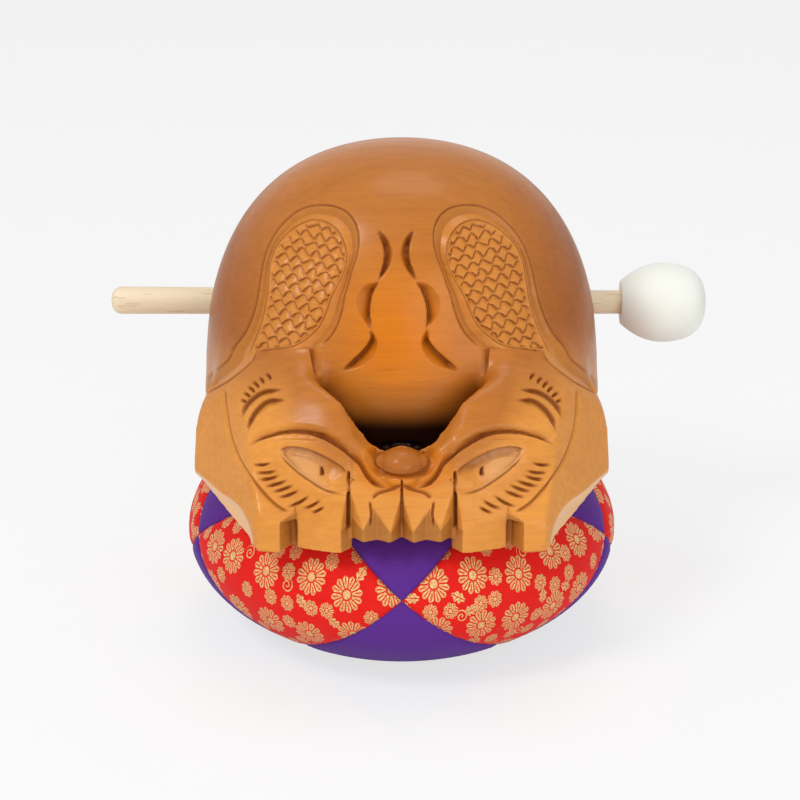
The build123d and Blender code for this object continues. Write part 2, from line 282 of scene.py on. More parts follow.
def leaf(s, away, length, turn):
    """A lobed leaf with its ribs left open."""
    x, y, _ = s.axes(away)
    c, n = s.math("COSINE", turn), s.math("SINE", turn)
    a = s.times(s.plus(s.times(x, c), s.times(y, n)), 1 / length)
    b = s.abs(s.times(s.minus(s.times(y, c), s.times(x, n)), 1 / length))
    belly = s.minus(1.0, s.times(a, a))
    lobe = s.math("MULTIPLY_ADD", s.abs(s.math("SINE", s.times(a, 5.0))), 0.3, 0.34)
    body = edge(s, s.minus(s.times(belly, lobe), b), 0.04)
    rib = s.abs(s.math("SINE", s.times(s.minus(a, b), 6.0)))
    return s.times(s.times(body, s.ramp(b, 0.02, 0.07)), s.ramp(rib, 0.08, 0.24))


def curl(s, away, radius, turn):
    """A line wound up on itself."""
    x, y, _ = s.axes(away)
    r = s.math("DIVIDE", s.vector("LENGTH", away), radius)
    angle = s.plus(s.math("ARCTAN2", y, x), turn)
    coil = s.minus(s.times(r, 1.7), s.math("DIVIDE", angle, 2 * math.pi))
    off = s.abs(s.minus(s.math("FRACT", coil), 0.5))
    line = s.minus(1.0, s.ramp(off, 0.12, 0.2))
    return s.times(line, edge(s, s.minus(1.0, r), 0.05))


def gold_figures(s, cloth):
    """Large flowers, buds between them, and leaves and curls in the gaps."""
    # Each lattice's spacing in millimetres and looseness, then the figures' sizes
    big, small, filler = (18.5, 0.3), (9.4, 0.4), (6.2, 0.5)
    big_size, small_size, fill_size = 6.4, 3.1, 2.6
    away, _, _, chance = cells(s, cloth, *big)
    gold = flower(s, away, big_size, 12, s.times(chance[0], 3.0))
    away, _, centre, chance = cells(s, cloth, *small)
    apart = s.math("GREATER_THAN", cells(s, centre, *big)[1], big_size + small_size * 0.7)
    buds = flower(s, away, small_size, 8, s.times(chance[0], 3.0))
    gold = s.math("MAXIMUM", gold, s.times(buds, apart))
    away, _, centre, chance = cells(s, cloth, *filler)
    apart = s.math("GREATER_THAN", cells(s, centre, *big)[1], big_size + fill_size * 0.7)
    clear = s.math("GREATER_THAN", cells(s, centre, *small)[1], small_size + fill_size * 0.55)
    turn = s.times(chance[0], 6.28)
    either = s.math("GREATER_THAN", chance[1], 0.45)
    sprig = s.plus(s.times(leaf(s, away, fill_size * 1.25, turn), either),
                   s.times(curl(s, away, fill_size, turn), s.minus(1.0, either)))
    return s.math("MAXIMUM", gold, s.times(sprig, s.times(apart, clear)))


def red_gold_brocade():
    """Red silk with woven gold flowers, leaves and curls of its own layout."""
    s = Shader("red_gold_brocade")
    cloth = s.node("UVMap", {"uv_map": "cloth"}).outputs[0]
    gold = gold_figures(s, cloth)
    weave = threads(s, cloth)
    slub = s.noise(s.vector("MULTIPLY", cloth, (0.2, 2.2, 1.0)), 1.0, 3.0, 0.6)
    glint = s.noise(s.vector("MULTIPLY", cloth, (0.9, 3.2, 1.0)), 1.0, 2.0, 0.6)
    red = s.shades(slub, (214, 14, 14), (244, 40, 30))
    # Gold thread painted paler where the glint noise is high, as painted glints; the same noise also sets
    # where the gold is worn thin
    thread = s.shades(s.ramp(glint, 0.35, 0.65), (205, 142, 66), (246, 214, 148))
    rows = s.math("SINE", s.times(s.axes(cloth)[1], GOLD_ROWS))
    wear = s.ramp(s.math("MULTIPLY_ADD", rows, 0.14, glint), 0.2, 0.46, 0.35, 1.0)
    worn = s.times(gold, wear)
    s.set(Base_Color=s.mix(worn, red, thread), Roughness=s.ramp(gold, 0.0, 1.0, 0.62, 0.42))
    s.set(Metallic=s.times(gold, 0.25), Sheen_Weight=0.06, Sheen_Roughness=0.4)
    s.set(Specular_IOR_Level=s.ramp(gold, 0.0, 1.0, 0.12, 0.5))
    s.bump(s.plus(gold, s.times(weave, 0.25)), 0.00022, 0.6)
    return s.material


# Meshes and arrays

def mesh_object(name, points, faces, material, smooth=True):
    """A new object from points in metres and faces."""
    mesh = bpy.data.meshes.new(name)
    mesh.from_pydata([tuple(p) for p in points], [], [tuple(int(i) for i in f) for f in faces])
    mesh.update()
    if smooth:
        shade_smooth(mesh)
    obj = bpy.data.objects.new(name, mesh)
    scene.collection.objects.link(obj)
    if material:
        mesh.materials.append(material)
    return obj


def shade_smooth(mesh):
    mesh.polygons.foreach_set("use_smooth", np.ones(len(mesh.polygons), bool))


def solid_copy(name, node):
    """An object with a copy of a node's mesh and no material."""
    obj = bpy.data.objects.new(name, nodes[node].data.copy())
    scene.collection.objects.link(obj)
    obj.data.materials.clear()
    return obj


def values_of(items, key, width, kind=float):
    """One value of all a mesh's points, edges or corners, as rows of an array."""
    out = np.empty(len(items) * width, kind)
    items.foreach_get(key, out)
    return out.reshape(-1, width)


def points_of(mesh):
    return values_of(mesh.vertices, "co", 3)


def normals_of(mesh):
    return values_of(mesh.vertex_normals, "vector", 3)


def edges_of(mesh):
    return values_of(mesh.edges, "vertices", 2, np.int64)


def tree_of(mesh):
    """A mesh's faces, for looking up."""
    faces = [tuple(f.vertices) for f in mesh.polygons]
    return BVHTree.FromPolygons([tuple(v.co) for v in mesh.vertices], faces)


def put_points(mesh, points):
    mesh.vertices.foreach_set("co", np.ascontiguousarray(points, np.float32).ravel())
    mesh.update()


def step(low, high, value):
    """A soft step from 0 at low to 1 at high."""
    t = np.clip((value - low) / (high - low), 0.0, 1.0)
    return t * t * (3 - 2 * t)


def spread(n_from, n_to):
    """Weights that carry n_from evenly spaced values to n_to by a smooth curve through them."""
    own = np.eye(n_from)
    rows = np.vstack((2 * own[0] - own[1], own, 2 * own[-1] - own[-2]))
    at = np.linspace(0, n_from - 1, n_to)
    i = np.minimum(at.astype(int), n_from - 2)
    t = (at - i)[:, None]
    a, b, c, d = (rows[i + k] for k in range(4))
    bend, twist = 2 * a - 5 * b + 4 * c - d, 3 * b - a - 3 * c + d
    return 0.5 * (2 * b + (c - a) * t + bend * t ** 2 + twist * t ** 3)


def relax(points, ends, weight, rounds):
    """Each point moves towards the middle of its neighbours, by its weight."""
    weight = np.zeros(len(points)) + weight
    moving = weight > 0.001
    near = moving[ends[:, 0]] | moving[ends[:, 1]]
    a, b = ends[near, 0], ends[near, 1]
    count = np.bincount(a, minlength=len(points)) + np.bincount(b, minlength=len(points))
    count = np.maximum(count, 1)
    for _ in range(rounds):
        middle = np.empty_like(points)
        for k in range(3):
            total = np.bincount(a, points[b, k], len(points)) + np.bincount(b, points[a, k], len(points))
            middle[:, k] = total / count
        points = np.where(moving[:, None], points + weight[:, None] * (middle - points), points)
    return points


# Drum: its form, in millimetres

DOME_TOP, DOME_LOW = 206.0, 101.0
DOME_WIDE, DOME_DEEP, DOME_BACK = 83.0, 64.0, 9.0
HEAD_MIDDLE, HEAD_RADIUS = (20.0, -15.0, 73.5), 74.5
CARVED_BEFORE, CARVED_ABOVE = 10.0, 66.0
HANDLE_BEFORE, HANDLE_BELOW = -66.0, 113.0
VOXEL = 1.25


def dome_radius(z):
    """The dome's half width at heights in millimetres."""
    t = np.linspace(0, 1, 80)
    shoulder = DOME_LOW + 0.63 * (DOME_TOP - DOME_LOW)
    pulls = ((DOME_WIDE, DOME_LOW), (DOME_WIDE, shoulder), (0.68 * DOME_WIDE, DOME_TOP), (0.0, DOME_TOP))
    weights = np.column_stack(((1 - t) ** 3, 3 * t * (1 - t) ** 2, 3 * t ** 2 * (1 - t), t ** 3))
    r, h = (weights @ np.array(pulls)).T
    return np.interp(z, h, r)


def dome_reach(mm):
    """How far out points lie, measured across the dome's oval."""
    return np.hypot(mm[:, 0], (mm[:, 1] - DOME_BACK) * DOME_WIDE / DOME_DEEP)


def dome_short(mm):
    """How far points stay inside the dome."""
    return dome_radius(mm[:, 2]) - dome_reach(mm)


def head_off(mm):
    """How far points lie outside the ball of the nearer head."""
    x, y, z = HEAD_MIDDLE
    off = np.column_stack((np.abs(mm[:, 0]) - x, mm[:, 1] - y, mm[:, 2] - z))
    return np.linalg.norm(off, axis=1) - HEAD_RADIUS


def on_front(points):
    """Which points in metres lie on the side that is carved."""
    return (points[:, 1] < CARVED_BEFORE / MM) & (points[:, 2] > CARVED_ABOVE / MM)


# The carver's plan: the drum seen from the eye, in steps of 1/800 of the picture, as like halves

PLAN_SIZE, PLAN_MIDDLE = 800.0, 400.0
LEAN, LEAN_FROM = 0.0321, 240.0
MARKED_MIDDLE, SHOWN_MIDDLE = 396.0, 394.3


def half_plan(points):
    """Where points in metres lie: out from the plan's middle line, which leans on the dome, and down."""
    x, y, z = (points * MM).T
    z = z - AIM_HEIGHT * MM
    c, s = math.cos(VIEW_TILT), math.sin(VIEW_TILT)
    depth = VIEW_DISTANCE * MM + y * c - z * s
    reach = LENS / SENSOR * PLAN_SIZE
    across = PLAN_MIDDLE + reach * x / depth
    down = PLAN_MIDDLE - reach * (y * s + z * c) / depth
    middle = np.minimum(PLAN_MIDDLE, SHOWN_MIDDLE + (down - LEAN_FROM) * LEAN)
    return np.column_stack((np.abs(across - middle), down))


def half(points):
    """Points marked on the left of the plan, as distances from its leaning middle line."""
    p = np.asarray(points, float)
    middle = MARKED_MIDDLE + (p[:, 1] - LEAN_FROM) * LEAN
    return np.column_stack((middle - p[:, 0], p[:, 1]))


def curve(points, cuts=8):
    """A smooth line through the points."""
    p = np.asarray(points, float)
    return spread(len(p), (len(p) - 1) * cuts + 1) @ p


def along(line, where):
    """Distance to a line, the side of it (over zero on its left) and how far along it, 0 to 1."""
    best = np.full(len(where), 1e9)
    side = np.zeros(len(where))
    far = np.zeros(len(where))
    lengths = np.linalg.norm(np.diff(line, axis=0), axis=1)
    start = np.concatenate(([0.0], np.cumsum(lengths)))
    for i, length in enumerate(lengths):
        if length < 1e-9:
            continue
        t = (line[i + 1] - line[i]) / length
        d = where - line[i]
        s = np.clip(d @ t, 0.0, length)
        off = d - s[:, None] * t
        dist = np.hypot(off[:, 0], off[:, 1])
        nearer = dist < best
        best = np.where(nearer, dist, best)
        side = np.where(nearer, t[0] * d[:, 1] - t[1] * d[:, 0], side)
        far = np.where(nearer, (start[i] + s) / start[-1], far)
    return best, side, far


def within(outline, where):
    """True inside a closed outline."""
    inside = np.zeros(len(where), bool)
    x, y = where.T
    for (x0, y0), (x1, y1) in zip(outline, np.roll(outline, -1, axis=0)):
        if y0 == y1:
            continue
        crosses = (y0 > y) != (y1 > y)
        inside ^= crosses & (x < (x1 - x0) * (y - y0) / (y1 - y0) + x0)
    return inside


def oval(where, middle, wide, high):
    """How far out points lie in an oval on the plan's middle line, which is 1 at its edge."""
    u, v = where.T
    return np.hypot(u / wide, (v - middle) / high)


class Carving:
    """Depths in millimetres, and how dark the cuts are painted, for pooled lacquer and painted shade, at
    the points of the plan.
    """

    def __init__(self, where):
        self.where = where
        self.depth = np.zeros(len(where))
        self.tone = np.zeros(len(where))

    def pick(self, line, margin):
        low, high = line.min(0) - margin, line.max(0) + margin
        return np.flatnonzero(((self.where > low) & (self.where < high)).all(1))

    def deepen(self, at, depth, tone):
        self.depth[at] = np.maximum(self.depth[at], depth)
        self.tone[at] = np.maximum(self.tone[at], tone)

    def near(self, points, width, ends):
        """The points by a line, with their distance, their side and how they fade to the line's ends."""
        line = curve(points)
        at = self.pick(line, width)
        d, side, t = along(line, self.where[at])
        return at, d, side, step(0, ends, t) * step(0, ends, 1 - t) if ends > 0 else 1.0

    def groove(self, points, width, depth, ends, tone=0.8):
        """A V cut that runs out at its ends."""
        at, d, _, fade = self.near(points, width, ends)
        shape = fade * np.clip(1 - d / width, 0, 1)
        self.deepen(at, depth * shape, tone * shape)

    def fold(self, points, width, depth, side, ends, tone=0.6, wall=1.6):
        """A cut that is steep on one side and eases out over its width on the other."""
        at, d, found, fade = self.near(points, width, ends)
        ease = np.clip(1 - d / width, 0, 1) ** 1.6
        steep = np.clip(1 - d / wall, 0, 1)
        self.deepen(at, depth * fade * np.where(found * side > 0, ease, steep), tone * fade * steep)

    def chip(self, deep, shallow, depth, tone=0.9, wall=1.5):
        """A hollow between two lines: deepest along the first, running out at the second."""
        deep, shallow = curve(deep), curve(shallow)
        at = self.pick(np.vstack((deep, shallow)), wall + 1)
        where = self.where[at]
        inside = within(np.vstack((deep, shallow[::-1])), where)
        d0, _, t = along(deep, where)
        d1, _, _ = along(shallow, where)
        slope = d1 / np.maximum(d0 + d1, 1e-6)
        end = np.clip(np.sin(np.pi * np.clip(t, 0, 1)) * 1.6, 0, 1)
        wide = np.where(inside, slope ** 0.9, np.where(d0 < d1, np.clip(1 - d0 / wall, 0, 1), 0))
        self.deepen(at, depth * end * wide, tone * end * np.clip(1 - d0 / 2.2, 0, 1))


# Lines of the carving, marked on the left half of the plan

FIELD = half([(250, 350), (256, 335.6), (261.9, 318), (266.3, 296), (267.7, 278.4), (270, 260.8),
              (276.5, 244.7), (286.8, 233), (298.6, 224.2), (311.8, 219.5), (322, 220.5), (332.3, 225.6),
              (341, 235.9), (345.5, 249), (346.2, 260.8), (342.6, 274), (336.7, 285.8), (330.8, 297.5),
              (326.4, 310.7), (320.6, 323.9), (314.7, 331.2), (304.4, 340), (292.7, 345.9), (278, 348),
              (262, 350)])
BAND = half([(203.7, 392), (204.5, 386), (210.6, 375), (227.5, 360), (234, 347.4), (245.7, 331.2),
             (254.5, 309.2), (258.9, 285.8), (261.9, 266.7), (267.7, 246.2), (278, 228.6), (292.7, 213.9),
             (307.4, 206.5), (322, 204.8), (336.7, 206.8), (348.4, 213.9), (355.8, 225.6), (358, 241.8),
             (355.8, 256.4), (350.6, 272.6), (347.7, 284.3), (344, 296), (341.8, 309.2), (336.7, 325.4),
             (329.4, 337.1), (318, 348)])
BAND_FOOT = half([(256, 350), (252, 360), (241, 370.6), (226, 382), (210.6, 390.5), (203, 395)])
CURLS = [(half(deep), half(shallow)) for deep, shallow in (
    ([(378, 229), (383.5, 242), (385.5, 254), (383.5, 267), (378.5, 281)],
     [(378, 229), (387, 238), (392.4, 252), (389.5, 266), (378.5, 281)]),
    ([(378.5, 281), (372, 291), (368.4, 306), (368.8, 320), (370.5, 330)],
     [(378.5, 281), (366, 284.5), (358, 294), (355.8, 303), (359, 314), (370.5, 330)]),
    ([(370.5, 329), (371, 340), (363.8, 351), (353, 361.5), (342.3, 372)],
     [(370.5, 329), (377, 341), (375.5, 353), (365, 365), (342.3, 372)]))]
BROW_1 = (half([(241, 420), (244, 407), (253.5, 396.7), (265.8, 390.5), (282.6, 389.8)]),
          half([(241, 420), (249, 408), (259.6, 398), (272, 394), (282.6, 389.8)]))
BROW_2 = (half([(247.4, 432.6), (250.4, 418), (259.6, 405.8), (270.4, 399.7), (286, 400.5)]),
          half([(247.4, 432.6), (256.5, 418), (267, 408), (277, 404.5), (286, 400.5)]))
LASHES = [half(p) for p in (
    [(263.5, 373), (268.5, 375.5), (271, 381)], [(256.6, 376.8), (261.5, 379.5), (264, 385)],
    [(250.4, 380.6), (256, 384), (258.9, 389.5)], [(245.8, 386), (251.5, 389), (255, 394)],
    [(241.3, 392), (247, 394.5), (251, 398.5)], [(239, 399.7), (243, 400.5), (247, 403)])]
LID = half([(245.8, 447.2), (259.6, 439.5), (278, 434.2), (299.4, 432.6), (317.8, 435.7), (333, 442.6),
            (348.5, 453.3), (360.7, 464), (368.4, 476.3), (377.5, 484.7), (393, 488.5)])
EYE_TOP = half([(279.5, 450.3), (293.3, 448), (310, 451), (327, 458.7), (340.8, 467), (348.5, 474)])
EYE_FOOT = half([(279.5, 450.3), (287.2, 461), (299.4, 471.7), (314.8, 482.4), (330, 490.8), (348.5, 494)])
PUPIL = half([(321, 464.5), (322.5, 471), (322.5, 478)])
CREASE = half([(309.4, 344), (311.5, 354), (314, 365), (317.5, 377)])
CHAMFER = half([(190, 464), (197.6, 470.2), (210.6, 480.9), (222.9, 491.6), (233.6, 498.5), (242.8, 506.9),
                (250.4, 519.2), (256.6, 537.5), (258, 560)])
CHEEKS = [half(p) for p in (
    [(251.2, 464.4), (263, 465), (275, 462.5)], [(255, 472.5), (268, 473), (281, 470.2)],
    [(258.9, 479), (271, 479), (283, 474.8)], [(264.2, 486.2), (278, 484.5), (291.8, 479.4)],
    [(271.9, 491.6), (285, 489.5), (297.9, 484)], [(278, 497.7), (291, 495), (304, 489.3)],
    [(287.2, 507), (301, 503), (314, 494)], [(302.5, 510), (314, 506), (325.5, 498.5)],
    [(311.7, 513.8), (320, 511), (328.5, 506)])]
PLATE = half([(224.4, 387.5), (226, 407.4), (230.5, 431.9), (238.2, 453.3), (248.9, 471.7), (262.7, 488.5),
              (278, 503.9), (293, 513)])
SPLIT = half([(350, 470), (351, 500), (351.5, 530)])
PETAL_SPLIT = half([(372, 500), (374, 512), (374.5, 528)])
SHIELD_TOP = half([(375, 499), (381, 493.5), (392, 490), (404, 487)])

# Lines and outlines given straight in the half plan, out from its middle line

MIDDLE = [(0, 476), (0, 500), (0, 530)]
FACET = [(150.5, 455), (148.2, 473), (143, 498), (138.2, 520)]
PETAL_TIPS = np.array([(0, 514), (11, 533), (24.5, 515), (28, 508), (38.7, 531), (50, 517)], float)
PETALS_END = 50.0
SHADED = [np.array(p, float) for p in ([(122, 522), (104, 512), (104, 546), (122, 551)],
                                       [(61, 531), (50, 522), (50, 549), (60, 555)])]
DETAIL = [(25, 205), (60, 196), (110, 200), (140, 240), (160, 320), (185, 370), (195, 400), (180, 470),
          (130, 530), (100, 556), (-5, 556), (-5, 430), (55, 436), (95, 390), (80, 355), (40, 350),
          (30, 300), (20, 240)]
PLAN_TOP = 190.0
FIN_OUT, FIN_DOWN, BEVEL_DOWN = 130.0, 455.0, 460.0

# Ovals on the middle line: how far down, half width and half height

PEARL = (461.0, 26.0, 13.0)
SADDLE = (466.0, 46.0, 26.0)
HOLLOW = (345.0, 60.0, 75.0)
AMBER = (400.0, 112.0, 82.0)

# Scales: the middle of a field, and sizes of one scale, in steps of the plan

SCALES_AT, SCALES_LEAN = (95.0, 285.0), math.radians(13.0)
SCALE_WIDTH, SCALE_PITCH, SCALE_ARCH, SCALE_ROWS = 13.0, 9.2, 6.0, 9


def scales(where):
    """Rows of scales: each is deepest under its arch and runs out at the next row."""
    up = np.array((-math.sin(SCALES_LEAN), -math.cos(SCALES_LEAN)))
    side = np.array((math.cos(SCALES_LEAN), -math.sin(SCALES_LEAN)))
    at = where - np.array(SCALES_AT)
    a, b = at @ side, at @ up
    # The rows waver, as cut by hand
    a, b = a + np.sin(0.31 * b) + 0.7 * np.sin(0.23 * a + 2.0), b + 0.9 * np.sin(0.37 * a + 1.0)
    own = np.full(len(where), -1.0)
    for k in range(-SCALE_ROWS, SCALE_ROWS + 1):
        x = ((a / SCALE_WIDTH + 0.5 * (k % 2)) % 1.0 - 0.5) * 2.0
        below = k * SCALE_PITCH - SCALE_ARCH * np.abs(x) ** 1.8 - b
        own = np.where((below >= 0) & ((own < 0) | (below < own)), below, own)
    # The second value is painted shade, a thin line just under each arch
    return np.clip(1 - own / SCALE_PITCH, 0, 1), np.clip(1 - own / 2.0, 0, 1)


def cut_lines(c):
    """Curls on the dome, and the brows, lashes, lids, cheeks, petals and teeth of the heads."""
    for lines in CURLS:
        c.chip(*lines, depth=3.4)
    c.chip(*BROW_1, depth=1.6)
    c.chip(*BROW_2, depth=1.8)
    for line in LASHES:
        c.groove(line, width=2.0, depth=1.2, ends=0.4)
    for line in CHEEKS:
        c.groove(line, width=1.9, depth=1.4, ends=0.45)
    c.fold(LID, width=10.0, depth=2.3, side=1, ends=0.12, tone=0.8)
    # Eyes are cut in under the lids and rise to their lower edge, round the pupils, with painted shade
    # under the lids
    c.chip(EYE_TOP, EYE_FOOT, depth=2.6, tone=1.0, wall=1.2)
    c.groove(EYE_TOP, width=1.8, depth=0.9, ends=0.1)
    c.groove(EYE_FOOT, width=1.8, depth=0.7, ends=0.2)
    c.groove(PUPIL, width=3.6, depth=3.2, ends=0.3, tone=0.9)
    c.fold(PLATE, width=5.0, depth=1.1, side=-1, ends=0.06)
    c.groove(SPLIT, width=1.9, depth=3.6, ends=0.1, tone=1.0)
    c.groove(PETAL_SPLIT, width=1.6, depth=1.2, ends=0.2)
    c.groove(MIDDLE, width=1.6, depth=1.8, ends=0.15, tone=0.9)
    c.fold(SHIELD_TOP, width=5.0, depth=1.2, side=1, ends=0.1)
    c.fold(CREASE, width=8.0, depth=1.8, side=1, ends=0.2, tone=0.5)


def cut_bands(c):
    """A band with two slopes round each scale field."""
    field, outer, foot = curve(FIELD), curve(BAND), curve(BAND_FOOT)
    at = c.pick(outer, 4)
    where = c.where[at]
    inside = within(np.vstack((outer, foot)), where) & ~within(field, where)
    to_outer, to_foot = along(outer, where)[0], along(foot, where)[0]
    to_inner = np.minimum(along(np.vstack((field, field[:1])), where)[0], to_foot)
    share = to_outer / np.maximum(to_outer + to_inner, 1e-6)
    slopes = inside * (1 - np.abs(2 * share - 1))
    c.deepen(at, 1.5 * slopes, 0.3 * inside * step(0.56, 0.44, share))
    c.groove(BAND, width=1.5, depth=0.8, ends=0.03, tone=0.5)
    c.groove(BAND_FOOT, width=1.5, depth=0.8, ends=0.1, tone=0.5)


def cut_scales(c):
    """Scale fields, a little sunk in their bands."""
    field = curve(FIELD)
    at = c.pick(field, 4)
    where = c.where[at]
    d, _, _ = along(np.vstack((field, field[:1])), where)
    inside = within(field, where)
    c.groove(FIELD, width=1.5, depth=0.8, ends=0.0, tone=0.4)
    depth, tone = scales(where)
    clear = step(1.5, 4.0, d) * inside
    c.deepen(at, 0.6 * step(0.0, 2.5, d) * inside + depth * clear, 0.7 * tone * clear)


def shade_teeth(c):
    """Painted shade on the teeth below the petals and on the blocks' inner side facets."""
    u, v = c.where.T
    below_petals = step(-1.0, 1.0, v - np.interp(u, *PETAL_TIPS.T))
    c.tone = np.maximum(c.tone, 0.48 * below_petals * step(PETALS_END + 1.0, PETALS_END - 1.0, u))
    for side_face in SHADED:
        c.tone = np.maximum(c.tone, 0.42 * within(side_face, c.where))


def bevel_fins(c):
    """The fins' lower edges are bevelled."""
    at = np.flatnonzero((c.where[:, 0] > FIN_OUT) & (c.where[:, 1] > FIN_DOWN))
    d, side, _ = along(curve(CHAMFER), c.where[at])
    c.depth[at] = np.where(side < 0, np.minimum(0.28 * d, 2.4), c.depth[at])


def raise_pearl(c):
    """The pearl stands out of a cup."""
    off = oval(c.where, *PEARL)
    cup = step(1.7, 1.05, off) * step(1.0, 1.08, off)
    c.depth = np.maximum(c.depth, 2.2 * cup)
    # A ring of painted shade lies where the cup meets the pearl; the pearl itself stays clear
    c.tone = np.maximum(c.tone, 0.5 * step(1.2, 1.02, off) * step(0.97, 1.04, off))
    c.depth = np.where(off < 1.0, -1.4 * np.sqrt(np.clip(1 - off ** 2, 0, 1)), c.depth)
    c.tone = np.where(off < 0.96, 0.0, c.tone)


def carve(where):
    """The depth of the carving at each point of the half plan, and how dark it shows."""
    c = Carving(where)
    for cut in (cut_lines, cut_bands, cut_scales, shade_teeth, bevel_fins, raise_pearl):
        cut(c)
    return c.depth, c.tone


def seen(tree, points, normals, chosen):
    """Which of the chosen points nothing hides from the eye."""
    is_seen = np.zeros(len(points), bool)
    clear = 1.5 / MM
    for i in np.flatnonzero(chosen):
        start = Vector(points[i] + normals[i] * clear)
        is_seen[i] = tree.ray_cast(start, (EYE - start).normalized())[0] is None
    return is_seen


def finer(mesh, chosen):
    """Cuts the faces between chosen points into four."""
    bm = bmesh.new()
    bm.from_mesh(mesh)
    bm.verts.ensure_lookup_table()
    cut = [e for e in bm.edges if chosen[e.verts[0].index] and chosen[e.verts[1].index]]
    bmesh.ops.subdivide_edges(bm, edges=cut, cuts=1, use_grid_fill=True)
    bmesh.ops.triangulate(bm, faces=[f for f in bm.faces if len(f.verts) > 4])
    bm.to_mesh(mesh)
    bm.free()
    mesh.update()


def fine_copy():
    """A copy of the drum's solid with small even faces."""
    obj = solid_copy("drum_carved", "drum")
    fine = obj.modifiers.new("fine", "REMESH")
    fine.mode = "VOXEL"
    fine.voxel_size = VOXEL / MM
    made = bpy.data.meshes.new_from_object(obj.evaluated_get(bpy.context.evaluated_depsgraph_get()))
    obj.modifiers.clear()
    obj.data = made
    return obj


def ease_form(mesh):
    """Closes the dome's plain cuts, to be carved again with slopes, and eases the heads' joins."""
    points, ends = points_of(mesh), edges_of(mesh)
    mm = points * MM
    ball, short = head_off(mm), dome_short(mm)
    sunk = (short > 0.05) & (short < 6.0) & (mm[:, 1] < 0) & (mm[:, 2] > 108.0) & (ball > -6.0)
    grow = np.where(sunk, dome_radius(mm[:, 2]) / np.maximum(dome_reach(mm), 1.0), 1.0)
    points[:, 0] *= grow
    points[:, 1] = (DOME_BACK + (mm[:, 1] - DOME_BACK) * grow) / MM
    mm = points * MM
    _, y, z = mm.T
    seam = np.maximum(np.abs(dome_short(mm)) * 0.85, np.abs(ball))
    join = step(16.0, 5.0, seam) * step(100.0, 112.0, z) * (y < 12)
    brow = step(112.0, 120.0, z) * step(5.0, 2.0, np.abs(ball)) * (y < -30) * (1 - join)
    for weight, rounds in ((0.5, 2), (0.7 * join, 240), (0.6 * brow, 30)):
        points = relax(points, ends, weight, rounds)
    put_points(mesh, points)


def refine(mesh, tree):
    """The carved side gets finer faces, and the scales and faces finer ones again."""
    for level in range(2):
        points, normals = points_of(mesh), normals_of(mesh)
        where = half_plan(points)
        facing = ((np.array(EYE) - points) * normals).sum(1) > 0.02
        wanted = facing & on_front(points) & (where[:, 1] > PLAN_TOP)
        if level:
            wanted &= within(curve(DETAIL, 4), where)
        finer(mesh, seen(tree, points, normals, wanted))


def true_handle(mesh):
    """Draws the handle's edges back to the solid's, and eases its steps where carving follows."""
    points, ends = points_of(mesh), edges_of(mesh)
    points = relax(points, ends, 0.4, 2)
    solid = tree_of(nodes["drum"].data)
    on_handle = (points[:, 1] < HANDLE_BEFORE / MM) & (points[:, 2] < HANDLE_BELOW / MM)
    for i in np.flatnonzero(on_handle):
        points[i] = solid.find_nearest(Vector(points[i]), 4.0 / MM)[0] or points[i]
    points = relax(points, ends, 0.4, 2)
    where = half_plan(points)
    (u, v), y = where.T, points[:, 1] * MM
    soft = np.zeros(len(points))
    on_face = np.flatnonzero((y < -40) & (v > 425) & (v < 540))
    for line, reach in ((LID, 7.0), (EYE_TOP, 5.0), (EYE_FOOT, 5.0), (FACET, 10.0)):
        d, _, _ = along(curve(line), where[on_face])
        soft[on_face] = np.maximum(soft[on_face], step(reach, 0.5 * reach, d))
    saddle = step(60.0, 50.0, u) * step(434.0, 440.0, v) * step(480.0, 474.0, v)
    soft = np.maximum(soft, saddle * (y < -60))
    put_points(mesh, relax(points, ends, 0.6 * soft, 60))


def cut_front(mesh, tree):
    """Carves what the eye sees along its normals. Gives the points' places and how dark the cuts are
    painted: pooled lacquer and painted shade.
    """
    points, normals, ends = points_of(mesh), normals_of(mesh), edges_of(mesh)
    where = half_plan(points)
    to_eye = np.array(EYE) - points
    to_eye /= np.linalg.norm(to_eye, axis=1)[:, None]
    face = (to_eye * normals).sum(1)
    at = np.flatnonzero(seen(tree, points, normals, (face > 0.03) & on_front(points)))
    depth, tone = carve(where[at])
    held = step(0.03, 0.25, face[at])
    points[at] -= normals[at] * (depth * held / MM)[:, None]
    cut = np.zeros(len(points))
    cut[at] = np.clip(tone * held, 0, 1)

    # The fins' bevels are evened out
    (u, v), (_, y, z) = where.T, (points * MM).T
    bevel = np.flatnonzero((u > FIN_OUT) & (v > BEVEL_DOWN) & (y < -30) & (z > 60))
    d, side, _ = along(curve(CHAMFER), where[bevel])
    soft = np.zeros(len(points))
    soft[bevel] = 0.5 * (side < 0) * step(2.0, 6.0, d)
    put_points(mesh, relax(points, ends, soft, 25))
    return where, cut


